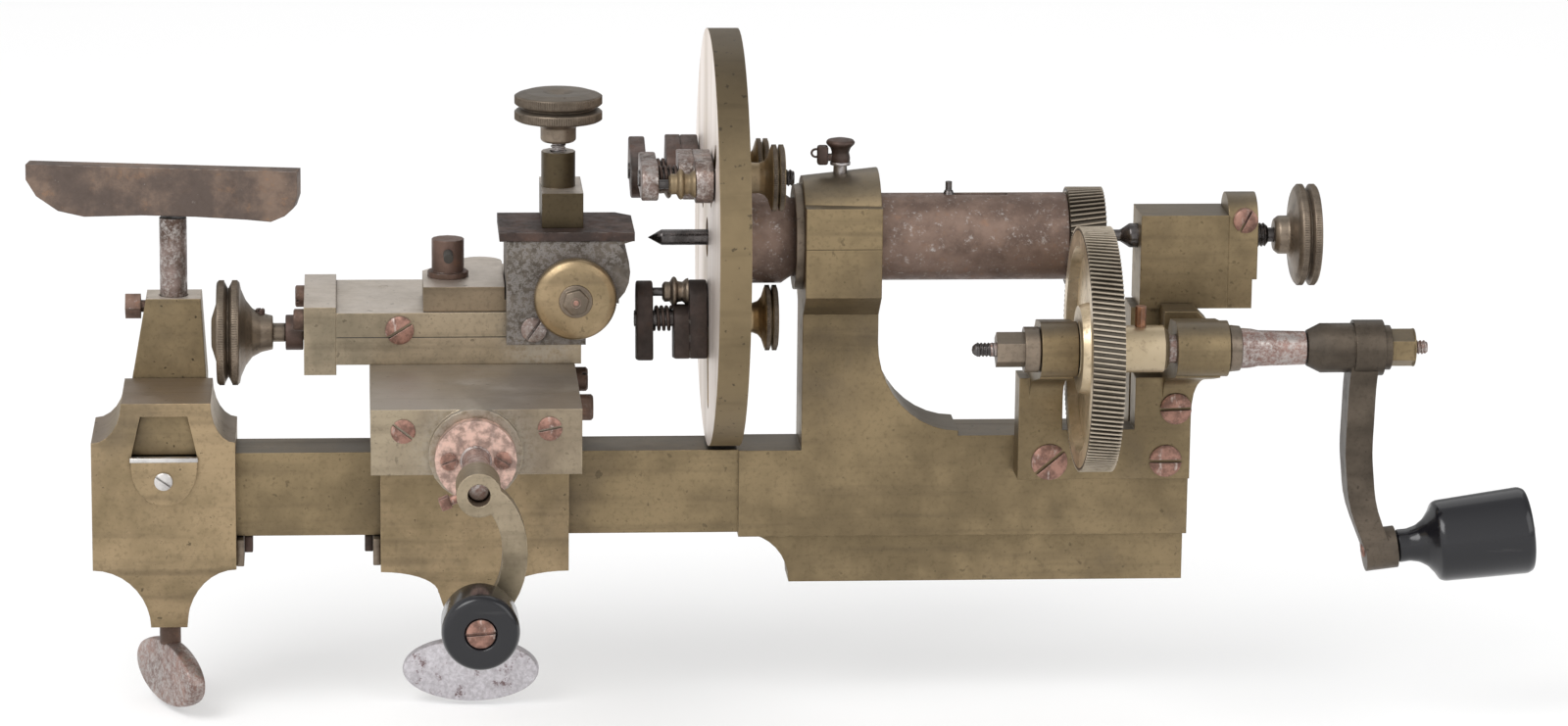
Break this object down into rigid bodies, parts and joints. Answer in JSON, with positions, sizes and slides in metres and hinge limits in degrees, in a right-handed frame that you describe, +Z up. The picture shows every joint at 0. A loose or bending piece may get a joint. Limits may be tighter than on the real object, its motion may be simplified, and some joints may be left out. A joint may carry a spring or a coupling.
{
  "type": "watchmaker's mandrel",
  "caption": "Hand-cranked watchmaker's mandrel: slotted faceplate with dogs on a geared spindle, on a bar bed with a tee rest and a cross slide rest.",
  "frame": {"origin": "middle of the underside of the foot that a bench vice grips", "axes": "+X along the bed towards the crank, +Y away from the operator, +Z up"},
  "size_m": [0.3803, 0.1724, 0.1743],
  "materials": {
    "brass": "aged, satin",
    "dark_brass": "dark, worn",
    "rusty_steel": "rusty",
    "bright_steel": "worn",
    "copper_red": "coppery",
    "black_gloss": "gloss"
  },
  "bodies": {
    "frame": {"bed_casting": "brass", "bearing_cap": "brass", "bearing_bush": "dark_brass", "oiler": "dark_brass", "tail_block": "brass", "tail_cap": "brass", "crank_bracket": "brass"},
    "spindle": {"spindle": "rusty_steel", "pinion": "dark_brass", "faceplate": "brass"},
    "pump": {"pump_centre": "bright_steel"},
    "crank": {"crank_shaft": "bright_steel", "shaft_nut": "brass", "drive_wheel": "brass", "wheel_pin": "copper_red", "crank_arm": "dark_brass", "crank_nut": "brass"},
    "crank_handle": {"crank_handle": "black_gloss"},
    "tail_screw": {"tail_screw": "rusty_steel"},
    "tail_knob": {"tail_knob": "dark_brass"},
    "rest_saddle": {"rest_saddle": "brass", "rest_stop_plate": "brass"},
    "rest_thumb_screw": {"rest_thumb_screw": "rusty_steel"},
    "rest_shoe": {"rest_shoe": "brass"},
    "socket_screw": {"socket_screw": "rusty_steel"},
    "rest_post": {"rest_post": "rusty_steel"},
    "rest_blade": {"rest_blade": "rusty_steel"},
    "slide_saddle": {"slide_saddle": "brass"},
    "slide_thumb_screw": {"slide_thumb_screw": "bright_steel"},
    "cross_slide": {"cross_slide": "brass", "retaining_disc": "copper_red", "slide_bar": "brass", "end_plate": "brass"},
    "cross_crank": {"cross_screw": "bright_steel", "cross_crank": "dark_brass"},
    "cross_handle": {"cross_handle": "black_gloss"},
    "feed_screw": {"feed_screw": "dark_brass"},
    "tool_slide": {"tool_carriage": "brass", "tool_head": "brass", "clamp_plate": "rusty_steel", "tool_post": "brass", "tommy_screw": "rusty_steel"},
    "top_knob": {"top_knob": "dark_brass"},
    "front_knob": {"front_knob": "brass"},
    "dog_low": {"dog_low_base": "rusty_steel", "dog_low_spring": "bright_steel"},
    "dog_low_nut": {"dog_low_nut": "brass"},
    "dog_low_jaw": {"dog_low_strap": "rusty_steel", "dog_low_bolt": "bright_steel"},
    "dog_near": {"dog_near_base": "rusty_steel", "dog_near_spring": "bright_steel"},
    "dog_near_nut": {"dog_near_nut": "brass"},
    "dog_near_jaw": {"dog_near_strap": "rusty_steel", "dog_near_bolt": "bright_steel"},
    "dog_far": {"dog_far_base": "rusty_steel", "dog_far_spring": "bright_steel"},
    "dog_far_nut": {"dog_far_nut": "brass"},
    "dog_far_jaw": {"dog_far_strap": "rusty_steel", "dog_far_bolt": "bright_steel"}
  },
  "joints": [
    {"name": "crank_turn", "type": "hinge", "parent": "frame", "child": "crank", "pos_m": [0, -0.0367, 0.0677], "axis": [1, 0, 0], "continuous": true},
    {"name": "spindle_turn", "type": "hinge", "parent": "frame", "child": "spindle", "pos_m": [0, 0, 0.089], "axis": [1, 0, 0], "continuous": true},
    {"name": "crank_handle_spin", "type": "hinge", "parent": "crank", "child": "crank_handle", "pos_m": [0.09685, -0.0367, 0.0157], "axis": [0.9925, 0, 0.1219], "continuous": true},
    {"name": "pump_slide", "type": "slide", "parent": "spindle", "child": "pump", "axis": [1, 0, 0], "range_m": [0, 0.0135]},
    {"name": "dog_low_set", "type": "slide", "parent": "spindle", "child": "dog_low", "axis": [0, -0.1977, -0.9803], "range_m": [-0.0004, 0.0202]},
    {"name": "dog_low_nut_turn", "type": "hinge", "parent": "dog_low", "child": "dog_low_nut", "pos_m": [-0.06, -0.00405, 0.0689], "axis": [-1, 0, 0], "range_deg": [0, 900]},
    {"name": "dog_low_jaw_slide", "type": "slide", "parent": "dog_low", "child": "dog_low_jaw", "axis": [1, 0, 0], "range_m": [0, 0.002], "deforming": ["dog_low_spring"]},
    {"name": "dog_near_set", "type": "slide", "parent": "spindle", "child": "dog_near", "axis": [0, -0.7501, 0.6613], "range_m": [-0.0095, 0.0111]},
    {"name": "dog_near_nut_turn", "type": "hinge", "parent": "dog_near", "child": "dog_near_nut", "pos_m": [-0.06, -0.02228, 0.10864], "axis": [-1, 0, 0], "range_deg": [0, 900]},
    {"name": "dog_near_jaw_slide", "type": "slide", "parent": "dog_near", "child": "dog_near_jaw", "axis": [1, 0, 0], "range_m": [0, 0.002], "deforming": ["dog_near_spring"]},
    {"name": "dog_far_set", "type": "slide", "parent": "spindle", "child": "dog_far", "axis": [0, 0.9478, 0.319], "range_m": [-0.0138, 0.0068]},
    {"name": "dog_far_nut_turn", "type": "hinge", "parent": "dog_far", "child": "dog_far_nut", "pos_m": [-0.06, 0.03222, 0.09985], "axis": [-1, 0, 0], "range_deg": [0, 900]},
    {"name": "dog_far_jaw_slide", "type": "slide", "parent": "dog_far", "child": "dog_far_jaw", "axis": [1, 0, 0], "range_m": [0, 0.002], "deforming": ["dog_far_spring"]},
    {"name": "tail_screw_slide", "type": "slide", "parent": "frame", "child": "tail_screw", "axis": [1, 0, 0], "range_m": [-0.0002, 0.0004]},
    {"name": "tail_knob_turn", "type": "hinge", "parent": "tail_screw", "child": "tail_knob", "pos_m": [0.078, 0, 0.089], "axis": [1, 0, 0], "range_deg": [-90, 180]},
    {"name": "slide_saddle_slide", "type": "slide", "parent": "frame", "child": "slide_saddle", "axis": [1, 0, 0], "range_m": [-0.01, 0]},
    {"name": "rest_saddle_slide", "type": "slide", "parent": "frame", "child": "rest_saddle", "axis": [1, 0, 0], "range_m": [-0.01, 0]},
    {"name": "rest_thumb_turn", "type": "hinge", "parent": "rest_saddle", "child": "rest_thumb_screw", "pos_m": [-0.2081, 0, -0.024], "axis": [0, 0, 1], "range_deg": [-180, 180]},
    {"name": "slide_thumb_turn", "type": "hinge", "parent": "slide_saddle", "child": "slide_thumb_screw", "pos_m": [-0.1314, 0, -0.024], "axis": [0, 0, 1], "range_deg": [-180, 180]},
    {"name": "rest_shoe_slide", "type": "slide", "parent": "rest_saddle", "child": "rest_shoe", "axis": [0, 1, 0], "range_m": [0, 0.008]},
    {"name": "socket_screw_turn", "type": "hinge", "parent": "rest_shoe", "child": "socket_screw", "pos_m": [-0.217, 0.022, 0.067], "axis": [1, 0, 0], "range_deg": [-180, 180]},
    {"name": "rest_post_slide", "type": "slide", "parent": "rest_shoe", "child": "rest_post", "axis": [0, 0, 1], "range_m": [-0.004, 0.01]},
    {"name": "rest_blade_turn", "type": "hinge", "parent": "rest_post", "child": "rest_blade", "pos_m": [-0.2068, 0.022, 0.09], "axis": [0, 0, 1], "range_deg": [-40, 40]},
    {"name": "cross_slide_slide", "type": "slide", "parent": "slide_saddle", "child": "cross_slide", "axis": [0, 1, 0], "range_m": [-0.016, 0.004]},
    {"name": "cross_crank_turn", "type": "hinge", "parent": "cross_slide", "child": "cross_crank", "pos_m": [-0.1314, -0.07, 0.0473], "axis": [0, 1, 0], "range_deg": [-2880, 720]},
    {"name": "cross_handle_spin", "type": "hinge", "parent": "cross_crank", "child": "cross_handle", "pos_m": [-0.1314, -0.11, 0.0185], "axis": [0, 1, 0], "continuous": true},
    {"name": "feed_screw_turn", "type": "hinge", "parent": "cross_slide", "child": "feed_screw", "pos_m": [-0.19, 0.009, 0.0628], "axis": [1, 0, 0], "range_deg": [0, 3600]},
    {"name": "tool_slide_slide", "type": "slide", "parent": "cross_slide", "child": "tool_slide", "axis": [1, 0, 0], "range_m": [-0.015, 0]},
    {"name": "top_knob_turn", "type": "hinge", "parent": "tool_slide", "child": "top_knob", "pos_m": [-0.1092, 0, 0.12], "axis": [0, 0, 1], "range_deg": [0, 720]},
    {"name": "front_knob_turn", "type": "hinge", "parent": "tool_slide", "child": "front_knob", "pos_m": [-0.1056, -0.02, 0.0778], "axis": [0, 1, 0], "range_deg": [-180, 180]}
  ],
  "couplings": [
    {"joint": "spindle_turn", "follows": "crank_turn", "ratio": -2.5},
    {"joint": "dog_low_nut_turn", "follows": "dog_low_jaw_slide", "rad_per_m": 7853.2},
    {"joint": "dog_near_nut_turn", "follows": "dog_near_jaw_slide", "rad_per_m": 7853.2},
    {"joint": "dog_far_nut_turn", "follows": "dog_far_jaw_slide", "rad_per_m": 7853.2},
    {"joint": "tail_knob_turn", "follows": "tail_screw_slide", "rad_per_m": 7853.2},
    {"joint": "rest_saddle_slide", "follows": "slide_saddle_slide", "ratio": 1},
    {"joint": "cross_crank_turn", "follows": "cross_slide_slide", "rad_per_m": 3141.3},
    {"joint": "feed_screw_turn", "follows": "tool_slide_slide", "rad_per_m": -4188.4}
  ]
}
